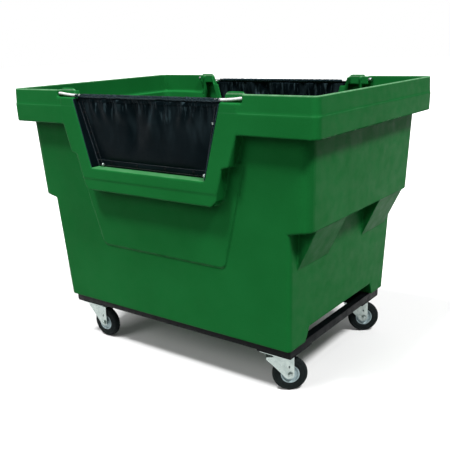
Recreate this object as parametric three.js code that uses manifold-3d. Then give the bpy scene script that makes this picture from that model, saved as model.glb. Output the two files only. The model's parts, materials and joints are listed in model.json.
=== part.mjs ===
// Bulk truck with drop sides: a moulded tub on an angle-iron chassis with four swivel casters.
// Millimetres, +Z up, +X to the right along the length, +Y from the front long side to the rear one.
// The origin is on the floor, under the middle of the truck.

import * as THREE from 'three';
import Module from 'manifold-3d';
import { mergeVertices } from 'three/addons/utils/BufferGeometryUtils.js';

const wasm = await Module();
wasm.setup();

// ---------- driving dimensions ----------

const GAP = 0.3; // clearance between pieces that touch
const WALL = 6; // tub wall

const WHEEL_DIAMETER = 127;
const WHEEL_WIDTH = 32;
const CASTER_HEIGHT = 156.7; // floor to the top of the caster's plate
const CASTER_X = 452; // swivel axis from the middle, along the length
const CASTER_Y = 300; // swivel axis from the middle, along the width
const TRAIL = 36; // axle behind the swivel axis

const PAD_THICKNESS = 4.7;
const ANGLE_LEG = 29.7; // angle iron of the chassis
const ANGLE_THICKNESS = 3;
const CHASSIS_HALF_X = 530;
const CHASSIS_HALF_Y = 354;

const PAD_Z = CASTER_HEIGHT + GAP;
const CHASSIS_Z = PAD_Z + PAD_THICKNESS + GAP;
const CHASSIS_TOP = CHASSIS_Z + ANGLE_LEG;
const FOOT_Z = CHASSIS_TOP + GAP; // underside of the tub's two runners

// heights of the tub, from the underside of its runners
const TUNNEL_Z = FOOT_Z + 52;
const BUTTRESS_Z = FOOT_Z + 288;
const STEP_Z = FOOT_Z + 432;
const FRAME_Z = FOOT_Z + 492;
const SILL_Z = FOOT_Z + 577;
const RIM_Z = FOOT_Z + 735;
const LEDGE_Z = FOOT_Z + 784;
const TOP_Z = FOOT_Z + 862;

const RIM_HALF_X = 688;
const RIM_HALF_Y = 454;
const BEYOND_X = 700; // further out than the tub in each direction, for tools that cut right through
const BEYOND_Y = 500;

// ---------- geometry helpers ----------

// A closed mesh as a solid that can be cut and joined.
function toSolid(geometry) {
  const bare = geometry.clone();
  bare.deleteAttribute('normal');
  bare.deleteAttribute('uv');
  const merged = mergeVertices(bare, 1e-4);
  return new wasm.Manifold(
    new wasm.Mesh({
      numProp: 3,
      vertProperties: new Float32Array(merged.attributes.position.array),
      triVerts: new Uint32Array(merged.index.array),
    }),
  );
}

function toGeometry(solid) {
  const mesh = solid.getMesh();
  const geometry = new THREE.BufferGeometry();
  geometry.setAttribute('position', new THREE.BufferAttribute(new Float32Array(mesh.vertProperties), 3));
  geometry.setIndex(new THREE.BufferAttribute(new Uint32Array(mesh.triVerts), 1));
  geometry.computeVertexNormals();
  return geometry;
}

function join(solids) {
  return solids.reduce((sum, solid) => sum.add(solid));
}

function cut(solid, cutters) {
  return cutters.reduce((rest, cutter) => rest.subtract(cutter), solid);
}

function box(x0, x1, y0, y1, z0, z1) {
  const geometry = new THREE.BoxGeometry(x1 - x0, y1 - y0, z1 - z0);
  geometry.translate((x0 + x1) / 2, (y0 + y1) / 2, (z0 + z1) / 2);
  return toSolid(geometry);
}

// An outline whose corners are [a, b, radius]; a missing radius leaves a sharp corner.
function outline(corners, steps = 4) {
  const points = [];
  corners.forEach(([a, b, radius = 0], i) => {
    const corner = new THREE.Vector2(a, b);
    if (radius === 0) {
      points.push(corner);
      return;
    }
    const before = new THREE.Vector2(...corners.at(i - 1).slice(0, 2)).sub(corner).normalize();
    const after = new THREE.Vector2(...corners[(i + 1) % corners.length].slice(0, 2)).sub(corner).normalize();
    const half = Math.acos(before.dot(after)) / 2;
    const bisector = before.clone().add(after).normalize();
    const centre = corner.clone().addScaledVector(bisector, radius / Math.sin(half));
    const start = corner.clone().addScaledVector(before, radius / Math.tan(half)).sub(centre);
    const sweep = (Math.PI - 2 * half) * Math.sign(after.cross(before));
    for (let k = 0; k <= steps; k += 1) {
      const turned = start.clone().rotateAround(new THREE.Vector2(), (sweep * k) / steps);
      points.push(centre.clone().add(turned));
    }
  });
  return points;
}

// A prism of an outline given in the two axes that are not its own: XY for z, XZ for y, YZ for x.
function prism(points, axis, from, to) {
  const geometry = new THREE.ExtrudeGeometry(new THREE.Shape(points), { depth: to - from, bevelEnabled: false });
  geometry.translate(0, 0, from);
  if (axis === 'y') {
    geometry.rotateX(Math.PI / 2);
    geometry.translate(0, from + to, 0);
  }
  if (axis === 'x') {
    geometry.rotateX(Math.PI / 2);
    geometry.rotateZ(Math.PI / 2);
  }
  return toSolid(geometry);
}

// A solid through rounded rectangles: each level is [z, half length, half width, corner radius].
function loft(levels, cornerSteps = 5) {
  const rings = levels.map(([z, halfX, halfY, radius]) => {
    const corners = [
      [halfX, halfY, radius],
      [-halfX, halfY, radius],
      [-halfX, -halfY, radius],
      [halfX, -halfY, radius],
    ];
    return outline(corners, cornerSteps).map((p) => new THREE.Vector3(p.x, p.y, z));
  });
  const count = rings[0].length;
  const vertices = rings.flat();
  const index = [];
  for (let level = 0; level + 1 < rings.length; level += 1) {
    for (let k = 0; k < count; k += 1) {
      const a = level * count + k;
      const b = level * count + ((k + 1) % count);
      index.push(a, b, b + count, a, b + count, a + count);
    }
  }
  const last = (rings.length - 1) * count;
  for (let k = 1; k + 1 < count; k += 1) {
    index.push(0, k + 1, k, last, last + k, last + k + 1);
  }
  const geometry = new THREE.BufferGeometry().setFromPoints(vertices);
  geometry.setIndex(index);
  return toSolid(geometry);
}

// A solid turned about Z from [radius, z] points that close on themselves or start and end on the axis.
function turned(profile, segments = 24) {
  const geometry = new THREE.LatheGeometry(profile.map(([r, z]) => new THREE.Vector2(r, z)), segments);
  geometry.rotateX(Math.PI / 2);
  return toSolid(geometry);
}

function cylinder(radius, z0, z1, segments = 24) {
  return turned([[0, z0], [radius, z0], [radius, z1], [0, z1]], segments);
}

function ring(inner, outer, z0, z1, segments = 24) {
  return turned([[inner, z0], [outer, z0], [outer, z1], [inner, z1], [inner, z0]], segments);
}

const mirrorX = (solid) => solid.mirror([1, 0, 0]);
const mirrorY = (solid) => solid.mirror([0, 1, 0]);
const bothEnds = (solid) => [solid, mirrorX(solid)];
const bothSides = (solid) => [solid, mirrorY(solid)];
const allCorners = (solid) => bothEnds(solid).flatMap(bothSides);

// ---------- materials ----------

const material = (color, roughness, metalness) =>
  new THREE.MeshStandardMaterial({ color, roughness, metalness });

const GREEN_PLASTIC = material(0x2a6b38, 0.5, 0);
const BLACK_STEEL = material(0x16181a, 0.55, 0.6);
const ZINC_STEEL = material(0xb9bdbd, 0.35, 0.9);
const GREY_RUBBER = material(0x3a3e40, 0.8, 0);
const BLACK_VINYL = material(0x14171a, 0.7, 0);
const WHITE_CORD = material(0xdfe3e2, 0.6, 0);

// ---------- group and nodes ----------

const truck = new THREE.Group();

function addNode(name, solid, look, parent = truck) {
  const mesh = new THREE.Mesh(toGeometry(solid), look);
  mesh.name = name;
  parent.add(mesh);
  return mesh;
}

// ---------- tub ----------

const SIDE_DRAFT = 24 / 432; // inward lean of the long walls below the step
const LOWER_HALF_X = 540;
const LOWER_HALF_Y = 375;
const UPPER_HALF_X = 626;
const UPPER_HALF_Y = LOWER_HALF_Y + SIDE_DRAFT * (STEP_Z - FOOT_Z);
const STEP_RISE = 10; // the step's underside climbs from the lower wall to its outer edge
const NECK_HALF_X = 640; // upper wall where it meets the rim
const NECK_HALF_Y = 413;
const CREASE_Z = FOOT_Z + 803;
const CREASE_DEPTH = 1.4;
const BIN_CORNER = 15; // corner radii of the lower bin, the upper bin and the rim
const UPPER_CORNER = 38;
const RIM_CORNER = 24;
const BIN_TOP_HALF_X = LOWER_HALF_X + 19.5; // the lower bin at the foot of its step
const TUNNEL_HALF_Y = 268; // half width of the space under the floor, at the runners' feet
const TUNNEL_TAPER = 24;

function tubOutside(extraY = 0) {
  const lowerTop = STEP_Z - STEP_RISE;
  return loft([
    [FOOT_Z, LOWER_HALF_X, LOWER_HALF_Y + extraY, BIN_CORNER],
    [lowerTop, BIN_TOP_HALF_X, UPPER_HALF_Y - 0.5 + extraY, BIN_CORNER],
    [STEP_Z, UPPER_HALF_X, UPPER_HALF_Y + extraY, UPPER_CORNER],
    [RIM_Z, NECK_HALF_X, NECK_HALF_Y + extraY, UPPER_CORNER],
    [RIM_Z, RIM_HALF_X - 2, RIM_HALF_Y - 1, RIM_CORNER],
    [CREASE_Z, RIM_HALF_X, RIM_HALF_Y, RIM_CORNER],
    [CREASE_Z + 2, RIM_HALF_X - CREASE_DEPTH, RIM_HALF_Y - CREASE_DEPTH, RIM_CORNER],
    [TOP_Z, RIM_HALF_X - 3, RIM_HALF_Y - 3, RIM_CORNER],
  ]);
}

// The outline of the space under the floor, between the two runners, in YZ.
function tunnelOutline(grow) {
  const side = TUNNEL_HALF_Y + grow;
  return outline([
    [-side, FOOT_Z - 1],
    [side, FOOT_Z - 1],
    [side - TUNNEL_TAPER, TUNNEL_Z + grow, 10],
    [-side + TUNNEL_TAPER, TUNNEL_Z + grow, 10],
  ]);
}

function tubCavity() {
  const lowerTop = STEP_Z - STEP_RISE + WALL;
  const inside = loft([
    [FOOT_Z + WALL, LOWER_HALF_X - WALL, LOWER_HALF_Y - WALL, 12],
    [lowerTop, BIN_TOP_HALF_X - WALL, UPPER_HALF_Y - WALL, 12],
    [STEP_Z + WALL, UPPER_HALF_X - WALL, UPPER_HALF_Y - WALL, UPPER_CORNER - WALL],
    [LEDGE_Z, NECK_HALF_X + 2 - WALL, NECK_HALF_Y + 2 - WALL, UPPER_CORNER - WALL],
    [LEDGE_Z, RIM_HALF_X - 1 - WALL, RIM_HALF_Y - 1 - WALL, RIM_CORNER - WALL],
    [TOP_Z + 1, RIM_HALF_X - 3 - WALL, RIM_HALF_Y - 3 - WALL, RIM_CORNER - WALL],
  ]);
  const overTunnel = prism(tunnelOutline(WALL), 'x', -BEYOND_X, BEYOND_X);
  return inside.subtract(overTunnel);
}

// The open groove behind the rim's hanging skirt.
function skirtGroove() {
  const behindSkirt = loft([
    [RIM_Z - 1, RIM_HALF_X - 2 - WALL, RIM_HALF_Y - 1 - WALL, RIM_CORNER - WALL],
    [LEDGE_Z - WALL, RIM_HALF_X - 1 - WALL, RIM_HALF_Y - WALL, RIM_CORNER - WALL],
  ]);
  const wall = loft([
    [RIM_Z - 2, NECK_HALF_X, NECK_HALF_Y, UPPER_CORNER],
    [LEDGE_Z, NECK_HALF_X + 2, NECK_HALF_Y + 2, UPPER_CORNER],
  ]);
  return behindSkirt.subtract(wall);
}

// ---------- drop-side openings of the tub ----------

const SILL_HALF = 268; // half width of the opening at its sill
const MOUTH_HALF = 348; // half width of the opening at the top of the rim
const JAMB_SLOPE = (MOUTH_HALF - SILL_HALF) / (TOP_Z - SILL_Z);
const FACE_Y = RIM_HALF_Y; // outer face of the frame round the opening
const LIP_Y = 406; // inner face of the lip that the side panel is riveted to
const LIP_WIDTH = 22;

// The opening's outline in XZ, grown outward by some millimetres and ending above the rim.
function openingOutline(grow, top = TOP_Z + 20) {
  const sill = SILL_Z - grow;
  const halfAt = (z) => SILL_HALF + (z - SILL_Z) * JAMB_SLOPE + grow * Math.hypot(1, JAMB_SLOPE);
  return outline([
    [-halfAt(sill), sill, 12],
    [halfAt(sill), sill, 12],
    [halfAt(top), top],
    [-halfAt(top), top],
  ]);
}

const FRAME_FOOT_HALF = 289; // half widths of the raised frame: its foot, its shoulder, its step and its top
const FRAME_SIDE_HALF = 311;
const FRAME_STEP_HALF = 340;
const FRAME_WIDE_HALF = 367;
const FRAME_TOP_HALF = 404;
const FRAME_STEP_Z = FOOT_Z + 624;

// The outline in XZ of the raised frame below the rim, shrunk by some millimetres.
function frameOutline(shrink, top) {
  const half = [
    [FRAME_FOOT_HALF - shrink, FRAME_Z + shrink, 14],
    [FRAME_SIDE_HALF - shrink, FRAME_Z + 20 + shrink / 2, 12],
    [FRAME_STEP_HALF - shrink, FRAME_STEP_Z + shrink, 6],
    [FRAME_WIDE_HALF - shrink, FRAME_STEP_Z + 7 + shrink, 8],
    [FRAME_TOP_HALF - shrink, RIM_Z + 12],
    [FRAME_TOP_HALF - shrink, top],
  ];
  const mirrored = half.map(([x, z, radius]) => [-x, z, radius]).reverse();
  return outline([...half, ...mirrored]);
}

const PANEL_RISE = 4;
const PANEL_FOOT_HALF = 292;
const PANEL_FOOT_Z = FOOT_Z + 262;
const PANEL_TOP_HALF = 398;
const PANEL_TOP_Z = FOOT_Z + 640;

// The low raised panel of the long wall, below the opening.
function wallPanel() {
  const shape = outline([
    [-PANEL_FOOT_HALF, PANEL_FOOT_Z, 25],
    [PANEL_FOOT_HALF, PANEL_FOOT_Z, 25],
    [PANEL_TOP_HALF, PANEL_TOP_Z],
    [-PANEL_TOP_HALF, PANEL_TOP_Z],
  ]);
  return prism(shape, 'y', -430, -350).intersect(tubOutside(PANEL_RISE));
}

// The spring cord's pocket in the rim at one corner of the opening, with the ear behind it.
const POCKET_DEPTH = 24;
const POCKET_START = 352;
const POCKET_END = 424;
const POCKET_FLOOR = FOOT_Z + 834;
const EAR_TOP = TOP_Z + 6;
const EAR_START = 343;
const EAR_END = 416;
const CORD_RADIUS = 5;
const CORD_POCKET_Y = -(FACE_Y - POCKET_DEPTH + CORD_RADIUS + 1.5);
const CORD_END_Z = FOOT_Z + 847;

function pocketBlock() {
  const back = -(FACE_Y - POCKET_DEPTH);
  const front = -(FACE_Y - 5);
  const floorBlock = box(POCKET_START, POCKET_END + WALL, front, back + WALL, POCKET_FLOOR - WALL, TOP_Z - 1);
  const ear = outline([
    [EAR_START, POCKET_FLOOR - WALL],
    [POCKET_END, POCKET_FLOOR - WALL],
    [POCKET_END, TOP_Z - 1],
    [EAR_END, TOP_Z - 1],
    [EAR_END, EAR_TOP, 3],
    [EAR_START, EAR_TOP, 22],
  ]);
  return floorBlock.add(prism(ear, 'y', back, back + WALL));
}

function pocketSpace() {
  const back = -(FACE_Y - POCKET_DEPTH);
  const space = box(300, POCKET_END, -FACE_Y - 5, back, POCKET_FLOOR, EAR_TOP + 10);
  const cordHole = cylinder(CORD_RADIUS + GAP, POCKET_END - 5, POCKET_END + WALL + 1, 16)
    .rotate([0, 90, 0])
    .translate([0, CORD_POCKET_Y, CORD_END_Z]);
  return space.add(cordHole);
}

const BUTTRESS_NEAR_Y = 132;
const BUTTRESS_FAR_Y = 345;

// The wedge that props the step from below, or its hollow when shrunk.
function buttress(shrink) {
  const wallX = LOWER_HALF_X + 10;
  const profile = outline([
    [wallX - 12 - shrink, BUTTRESS_Z + 2 * shrink],
    [wallX + 3.5 - shrink, BUTTRESS_Z + 2 * shrink],
    [UPPER_HALF_X - 3 - 1.4 * shrink, STEP_Z - 1 + shrink],
    [wallX - 12 - shrink, STEP_Z - 1 + shrink],
  ]);
  return prism(profile, 'y', BUTTRESS_NEAR_Y + shrink, BUTTRESS_FAR_Y - shrink);
}

const FACE_STEP_DROP = 41; // the frame's face steps back below this depth under the sill
const FACE_STEP_DEPTH = 1.5;

function makeTub() {
  const shell = tubOutside()
    .subtract(prism(tunnelOutline(0), 'x', -BEYOND_X, BEYOND_X))
    .subtract(tubCavity())
    .subtract(skirtGroove());

  const frame = prism(frameOutline(0, TOP_Z - 4), 'y', -FACE_Y, -LIP_Y);
  const hollow = prism(frameOutline(WALL, TOP_Z + 10), 'y', -FACE_Y + WALL, -380)
    .subtract(prism(openingOutline(WALL), 'y', -FACE_Y - 5, -LIP_Y))
    .subtract(box(-BEYOND_X, BEYOND_X, -BEYOND_Y, -340, 0, FRAME_Z + WALL));
  const lip = prism(openingOutline(1), 'y', -LIP_Y - WALL, -LIP_Y)
    .subtract(prism(openingOutline(-LIP_WIDTH), 'y', -BEYOND_Y, -300))
    .subtract(box(-BEYOND_X, BEYOND_X, -BEYOND_Y, -300, POCKET_FLOOR - 10, TOP_Z + 50));
  const faceFront = -FACE_Y - 1;
  const faceStep = box(-320, 320, faceFront, -FACE_Y + FACE_STEP_DEPTH, FRAME_Z - 5, SILL_Z - FACE_STEP_DROP);

  const joined = join([
    shell,
    ...bothSides(wallPanel()).map((panel) => panel.subtract(tubCavity())),
    ...bothSides(frame),
    ...allCorners(buttress(0)),
  ]);
  const opened = cut(joined, [
    ...bothSides(hollow),
    ...bothSides(prism(openingOutline(0), 'y', -BEYOND_Y, -300)),
    ...bothSides(faceStep),
    ...allCorners(buttress(WALL)),
  ]);
  const withPockets = join([opened, ...allCorners(pocketBlock()), ...bothSides(lip)]);
  return cut(withPockets, allCorners(pocketSpace()));
}

// ---------- bolts that hold the tub to the chassis ----------

const TUB_BOLT_X = [-380, -130, 130, 380];
const TUB_BOLT_Y = CHASSIS_HALF_Y - 15;
const TUB_BOLT_RADIUS = 3;
const TUB_BOLT_TOP = FOOT_Z + 9;
const BOSS_RADIUS = 10; // blind boss inside the runner that a bolt screws up into
const BOSS_TOP = FOOT_Z + 12;
const WASHER_RADIUS = 8;
const WASHER_THICKNESS = 1.6;
const BOLT_HEAD_RADIUS = 5.6;
const BOLT_HEAD_HEIGHT = 4;

function boltHoles() {
  return TUB_BOLT_X.map((x) =>
    cylinder(TUB_BOLT_RADIUS + GAP, CHASSIS_Z, TUB_BOLT_TOP + GAP, 12).translate([x, -TUB_BOLT_Y, 0]),
  );
}

function boltBosses() {
  return TUB_BOLT_X.map((x) => cylinder(BOSS_RADIUS, FOOT_Z, BOSS_TOP, 16).translate([x, -TUB_BOLT_Y, 0]));
}

addNode(
  'tub',
  cut(join([makeTub(), ...boltBosses().flatMap(bothSides)]), boltHoles().flatMap(bothSides)),
  GREEN_PLASTIC,
);

// Head and washer under the rail, shank up into the runner's boss.
function makeTubBolt() {
  const washerTop = CHASSIS_TOP - ANGLE_THICKNESS - GAP;
  const headTop = washerTop - WASHER_THICKNESS;
  return join([
    cylinder(TUB_BOLT_RADIUS, headTop - 1, TUB_BOLT_TOP, 8),
    cylinder(WASHER_RADIUS, headTop, washerTop, 12),
    cylinder(BOLT_HEAD_RADIUS, headTop - BOLT_HEAD_HEIGHT, headTop + 0.5, 6),
  ]);
}

['front', 'rear'].forEach((side) => {
  TUB_BOLT_X.forEach((x, i) => {
    const bolt = addNode(`tub_bolt_${side}_${i + 1}`, makeTubBolt(), ZINC_STEEL);
    bolt.position.set(x, side === 'front' ? -TUB_BOLT_Y : TUB_BOLT_Y, 0);
  });
});

// ---------- chassis ----------

function angleFrame() {
  const outer = box(-CHASSIS_HALF_X, CHASSIS_HALF_X, -CHASSIS_HALF_Y, CHASSIS_HALF_Y, CHASSIS_Z, CHASSIS_TOP);
  const inside = (edge, z0, z1) =>
    box(-CHASSIS_HALF_X + edge, CHASSIS_HALF_X - edge, -CHASSIS_HALF_Y + edge, CHASSIS_HALF_Y - edge, z0, z1);
  return cut(outer, [
    inside(ANGLE_THICKNESS, CHASSIS_Z - 1, CHASSIS_TOP - ANGLE_THICKNESS),
    inside(ANGLE_LEG, CHASSIS_Z - 1, CHASSIS_TOP + 1),
  ]);
}

// The mitred stretch of the frame that runs along one edge, cut out by a wedge.
function mitreWedge(halfLong, halfShort) {
  const reach = 100;
  return [
    [-halfLong + GAP / 2, -halfShort],
    [halfLong - GAP / 2, -halfShort],
    [halfLong - GAP / 2 - reach, -halfShort + reach],
    [-halfLong + GAP / 2 + reach, -halfShort + reach],
  ].map(([a, b]) => new THREE.Vector2(a, b));
}

function makeLongRail() {
  const wedge = prism(mitreWedge(CHASSIS_HALF_X, CHASSIS_HALF_Y), 'z', CHASSIS_Z - 5, CHASSIS_TOP + 5);
  return cut(angleFrame().intersect(wedge), boltHoles());
}

function makeEndRail() {
  const wedge = prism(mitreWedge(CHASSIS_HALF_Y, CHASSIS_HALF_X), 'z', CHASSIS_Z - 5, CHASSIS_TOP + 5);
  return angleFrame().intersect(wedge.rotate([0, 0, 90]));
}

addNode('front_rail', makeLongRail(), BLACK_STEEL);
addNode('rear_rail', mirrorY(makeLongRail()), BLACK_STEEL);
addNode('right_rail', makeEndRail(), BLACK_STEEL);
addNode('left_rail', mirrorX(makeEndRail()), BLACK_STEEL);

const PLATE_BOLT_X = 42;
const PLATE_BOLT_Y = 34;
const PLATE_BOLT_RADIUS = 4;

function plateBoltPlaces() {
  return [-1, 1].flatMap((sx) => [-1, 1].map((sy) => [sx * PLATE_BOLT_X, sy * PLATE_BOLT_Y]));
}

const PAD_INNER_X = CASTER_X - 62;
const PAD_INNER_Y = CASTER_Y - 95;
const PAD_CORNER = 4;

// The rear right pad; the other three are its mirror images.
function makePad() {
  const shape = outline([
    [PAD_INNER_X, PAD_INNER_Y + 40],
    [PAD_INNER_X + 42, PAD_INNER_Y, 10],
    [CHASSIS_HALF_X, PAD_INNER_Y, PAD_CORNER],
    [CHASSIS_HALF_X, CHASSIS_HALF_Y, PAD_CORNER],
    [PAD_INNER_X, CHASSIS_HALF_Y, PAD_CORNER],
  ]);
  const holes = plateBoltPlaces().map(([x, y]) =>
    cylinder(PLATE_BOLT_RADIUS + GAP, PAD_Z - 1, CHASSIS_Z, 12).translate([CASTER_X + x, CASTER_Y + y, 0]),
  );
  return cut(prism(shape, 'z', PAD_Z, PAD_Z + PAD_THICKNESS), holes);
}

addNode('pad_rear_right', makePad(), BLACK_STEEL);
addNode('pad_rear_left', mirrorX(makePad()), BLACK_STEEL);
addNode('pad_front_right', mirrorY(makePad()), BLACK_STEEL);
addNode('pad_front_left', mirrorX(mirrorY(makePad())), BLACK_STEEL);

// ---------- casters ----------

const PLATE_THICKNESS = 4;
const PLATE_HALF_X = 57;
const PLATE_HALF_Y = 51;
const PLATE_CORNER = 10;
const NUT_RADIUS = 7.2;
const PLATE_UNDERSIDE = CASTER_HEIGHT - PLATE_THICKNESS;
const FORK_TOP = 136;
const FORK_THICKNESS = 3;
const LEG_INSIDE = WHEEL_WIDTH / 2 + 2.3;
const KINGPIN_RADIUS = 6;
const AXLE_RADIUS = 6;
const AXLE_NUT_RADIUS = 9.5;
const FORK_FRONT = -49; // front edge of the fork's top plate, from the swivel axis
const HUB_RADIUS = 33.7;
const WHEEL_RADIUS = WHEEL_DIAMETER / 2;

// The mounting plate with its four bolts and nuts, which clamp the pad.
function makeCasterPlate() {
  const shape = outline([
    [PLATE_HALF_X, PLATE_HALF_Y, PLATE_CORNER],
    [-PLATE_HALF_X, PLATE_HALF_Y, PLATE_CORNER],
    [-PLATE_HALF_X, -PLATE_HALF_Y, PLATE_CORNER],
    [PLATE_HALF_X, -PLATE_HALF_Y, PLATE_CORNER],
  ]);
  const padTop = PAD_Z + PAD_THICKNESS + GAP;
  const bolt = join([
    cylinder(NUT_RADIUS, PLATE_UNDERSIDE - 5.5, PLATE_UNDERSIDE + 0.5, 6),
    cylinder(PLATE_BOLT_RADIUS, PLATE_UNDERSIDE, padTop + 12, 8),
    cylinder(NUT_RADIUS, padTop, padTop + 6.5, 6),
  ]);
  const bolts = plateBoltPlaces().map(([x, y]) => bolt.translate([x, y, 0]));
  return join([prism(shape, 'z', PLATE_UNDERSIDE, CASTER_HEIGHT), ...bolts]);
}

const RACE_RADIUS = 35;

// The ball race between the plate and the fork.
function makeRace() {
  const bottom = FORK_TOP + GAP;
  const top = PLATE_UNDERSIDE - GAP;
  return turned([
    [KINGPIN_RADIUS + GAP, bottom],
    [RACE_RADIUS - 5, bottom],
    [RACE_RADIUS, bottom + 4],
    [RACE_RADIUS, bottom + 9],
    [RACE_RADIUS - 5, top],
    [KINGPIN_RADIUS + GAP, top],
    [KINGPIN_RADIUS + GAP, bottom],
  ], 20);
}

function makeKingpin() {
  const forkUnder = FORK_TOP - FORK_THICKNESS - GAP;
  return join([
    cylinder(KINGPIN_RADIUS, forkUnder - 8, PLATE_UNDERSIDE - GAP, 16),
    cylinder(10.5, forkUnder - 7, forkUnder, 6),
  ]);
}

// The stamped fork: a top plate and two legs that narrow to the axle, trailing along +X.
function makeFork() {
  const legShape = outline([
    [FORK_FRONT, FORK_TOP],
    [FORK_FRONT, FORK_TOP - 9, 6],
    [-22, 100, 20],
    [TRAIL - 28, 66, 12],
    [TRAIL - 12, WHEEL_RADIUS - 14, 10],
    [TRAIL + 14, WHEEL_RADIUS - 14, 13],
    [TRAIL + 14, FORK_TOP],
  ]);
  const outside = LEG_INSIDE + FORK_THICKNESS;
  const body = prism(legShape, 'y', -outside, outside);
  const wheelSpace = box(-100, 150, -LEG_INSIDE, LEG_INSIDE, 0, FORK_TOP - FORK_THICKNESS);
  const axleHole = cylinder(AXLE_RADIUS + GAP, -60, 60, 16)
    .rotate([90, 0, 0])
    .translate([TRAIL, 0, WHEEL_RADIUS]);
  const slot = box(TRAIL - 6, TRAIL - 1, -60, 60, WHEEL_RADIUS + 27, WHEEL_RADIUS + 36);
  const pinHole = cylinder(KINGPIN_RADIUS + GAP, FORK_TOP - 10, FORK_TOP + 5, 16);
  return cut(body, [wheelSpace, axleHole, slot, pinHole]);
}

function makeAxle() {
  const legOutside = LEG_INSIDE + FORK_THICKNESS + GAP;
  return join([
    cylinder(AXLE_RADIUS, -legOutside - 5, legOutside + 9, 16),
    cylinder(AXLE_NUT_RADIUS, -legOutside - 6.5, -legOutside, 6),
    cylinder(AXLE_NUT_RADIUS, legOutside, legOutside + 7, 6),
  ]);
}

// The dished hub, with its boss on the axle.
function makeHub() {
  const face = WHEEL_WIDTH / 2 - 1;
  return turned([
    [AXLE_RADIUS + GAP, -face - 2],
    [12, -face - 2],
    [13, -face + 5],
    [25, -face + 6],
    [29, -face],
    [HUB_RADIUS, -face],
    [HUB_RADIUS, face],
    [29, face],
    [25, face - 6],
    [13, face - 5],
    [12, face + 2],
    [AXLE_RADIUS + GAP, face + 2],
    [AXLE_RADIUS + GAP, -face - 2],
  ], 18);
}

function makeTyre() {
  const face = WHEEL_WIDTH / 2;
  return turned([
    [HUB_RADIUS + GAP, -face],
    [WHEEL_RADIUS - 9, -face],
    [WHEEL_RADIUS - 3, -face + 3],
    [WHEEL_RADIUS, -face + 9],
    [WHEEL_RADIUS, face - 9],
    [WHEEL_RADIUS - 3, face - 3],
    [WHEEL_RADIUS - 9, face],
    [HUB_RADIUS + GAP, face],
    [HUB_RADIUS + GAP, -face],
  ], 32);
}

// Each caster stands at a corner; its fork is turned by some degrees about the swivel axis.
const CASTERS = [
  { name: 'front_left', sideX: -1, sideY: -1, turn: 0 },
  { name: 'front_right', sideX: 1, sideY: -1, turn: 38 },
  { name: 'rear_left', sideX: -1, sideY: 1, turn: 160 },
  { name: 'rear_right', sideX: 1, sideY: 1, turn: 38 },
];

CASTERS.forEach(({ name, sideX, sideY, turn }) => {
  const caster = new THREE.Group();
  caster.position.set(sideX * CASTER_X, sideY * CASTER_Y, 0);
  truck.add(caster);
  addNode(`caster_${name}_plate`, makeCasterPlate(), ZINC_STEEL, caster);
  addNode(`caster_${name}_race`, makeRace(), ZINC_STEEL, caster);
  addNode(`caster_${name}_kingpin`, makeKingpin(), ZINC_STEEL, caster);

  const swivel = new THREE.Group();
  swivel.rotation.z = THREE.MathUtils.degToRad(turn);
  caster.add(swivel);
  addNode(`caster_${name}_fork`, makeFork(), ZINC_STEEL, swivel);

  const wheel = new THREE.Group();
  wheel.position.set(TRAIL, 0, WHEEL_RADIUS);
  wheel.rotation.x = Math.PI / 2;
  swivel.add(wheel);
  addNode(`caster_${name}_axle`, makeAxle(), ZINC_STEEL, wheel);
  addNode(`caster_${name}_hub`, makeHub(), ZINC_STEEL, wheel);
  addNode(`caster_${name}_tyre`, makeTyre(), GREY_RUBBER, wheel);
});

// ---------- side panels and their spring cords ----------

const PANEL_THICKNESS = 2.5;
const HEM_Z = FOOT_Z + 841;
const HEM_Y = -434;
const HEM_HALF = 290;
const HEM_RADIUS = 7.5;

// The vinyl sheet that closes the opening, in front of the lip.
function makePanel() {
  const top = HEM_Z - HEM_RADIUS - 2;
  const front = -LIP_Y - WALL - GAP - PANEL_THICKNESS;
  return prism(openingOutline(-1.5), 'y', front, front + PANEL_THICKNESS)
    .subtract(box(-BEYOND_X, BEYOND_X, -BEYOND_Y, -300, top, TOP_Z + 50));
}

// The tube of the top hem, which the cord runs through.
function makeHem() {
  return ring(CORD_RADIUS + 3 * GAP, HEM_RADIUS, -HEM_HALF, HEM_HALF, 12)
    .rotate([0, 90, 0])
    .translate([0, HEM_Y, HEM_Z]);
}

// The cord runs through the hem, over the jambs and along the pockets to its ferrules.
function makeCord() {
  const half = [
    [HEM_HALF / 2, HEM_Y, HEM_Z],
    [HEM_HALF - 20, HEM_Y, HEM_Z],
    [HEM_HALF + 18, HEM_Y, HEM_Z],
    [335, CORD_POCKET_Y + 0.5, HEM_Z + 0.2],
    [348, CORD_POCKET_Y, HEM_Z + 0.5],
    [385, CORD_POCKET_Y, (HEM_Z + CORD_END_Z) / 2],
    [POCKET_END - 12, CORD_POCKET_Y, CORD_END_Z],
    [POCKET_END + WALL + 0.5, CORD_POCKET_Y, CORD_END_Z],
  ].map(([x, y, z]) => new THREE.Vector3(x, y, z));
  const left = half.map((p) => new THREE.Vector3(-p.x, p.y, p.z)).reverse();
  const path = new THREE.CatmullRomCurve3([...left, ...half], false, 'centripetal');
  const section = new THREE.Shape().absarc(0, 0, CORD_RADIUS, 0, 2 * Math.PI);
  return toSolid(new THREE.ExtrudeGeometry(section, { steps: 64, curveSegments: 4, extrudePath: path }));
}

const FERRULE_RADIUS = 8;
const FERRULE_LENGTH = 12;

function makeFerrule() {
  const start = POCKET_END + WALL + 1;
  return cylinder(FERRULE_RADIUS, start, start + FERRULE_LENGTH, 16)
    .rotate([0, 90, 0])
    .translate([0, CORD_POCKET_Y, CORD_END_Z]);
}

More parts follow.
